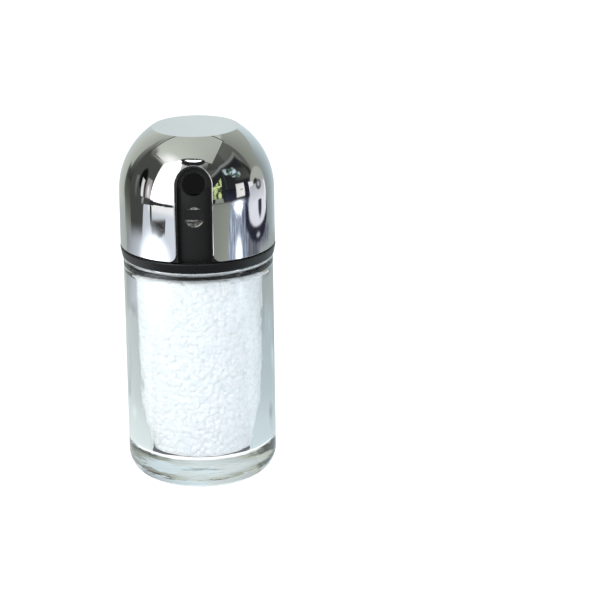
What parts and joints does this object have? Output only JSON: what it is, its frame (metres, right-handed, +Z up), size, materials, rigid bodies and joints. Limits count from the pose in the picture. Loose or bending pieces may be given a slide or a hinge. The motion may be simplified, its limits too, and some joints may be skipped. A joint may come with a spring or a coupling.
{
  "type": "table salt shaker with turning dome",
  "caption": "Glass table shaker filled with coarse salt, with a black screw head and a bright dome whose arched window turns over the pouring ports.",
  "frame": {"origin": "middle of the jar's foot, on the surface it stands on", "axes": "+Z up along the jar's axis, -Y out through the dome's window at rest, +X to the right of someone facing the window"},
  "size_m": [0.0518, 0.0518, 0.121],
  "materials": {
    "glass": "clear, polished, thick",
    "salt": "coarse white grains",
    "seal": "soft, matt",
    "black_plastic": "satin moulded",
    "bright_shell": "mirror polished",
    "steel": "plain zinc plated"
  },
  "bodies": {
    "jar": {"glass_jar": "glass", "salt_fill": "salt"},
    "seal": {"neck_gasket": "seal"},
    "head": {"screw_collar": "black_plastic", "port_drum": "black_plastic"},
    "dome": {"dome_liner": "black_plastic", "dome_shell": "bright_shell", "pivot_screw": "steel", "pivot_washer": "steel", "cone_spring": "steel"}
  },
  "joints": [
    {"name": "head_rise", "type": "slide", "parent": "jar", "child": "seal", "axis": [0, 0, 1], "range_m": [0, 0.00526]},
    {"name": "head_unscrew", "type": "hinge", "parent": "seal", "child": "head", "pos_m": [0, 0, 0.081], "axis": [0, 0, 1], "range_deg": [0, 450]},
    {"name": "dome_turn", "type": "hinge", "parent": "head", "child": "dome", "pos_m": [0, 0, 0.1], "axis": [0, 0, 1], "continuous": true}
  ],
  "couplings": [
    {"joint": "head_rise", "follows": "head_unscrew", "m_per_rad": 0.00066845}
  ]
}
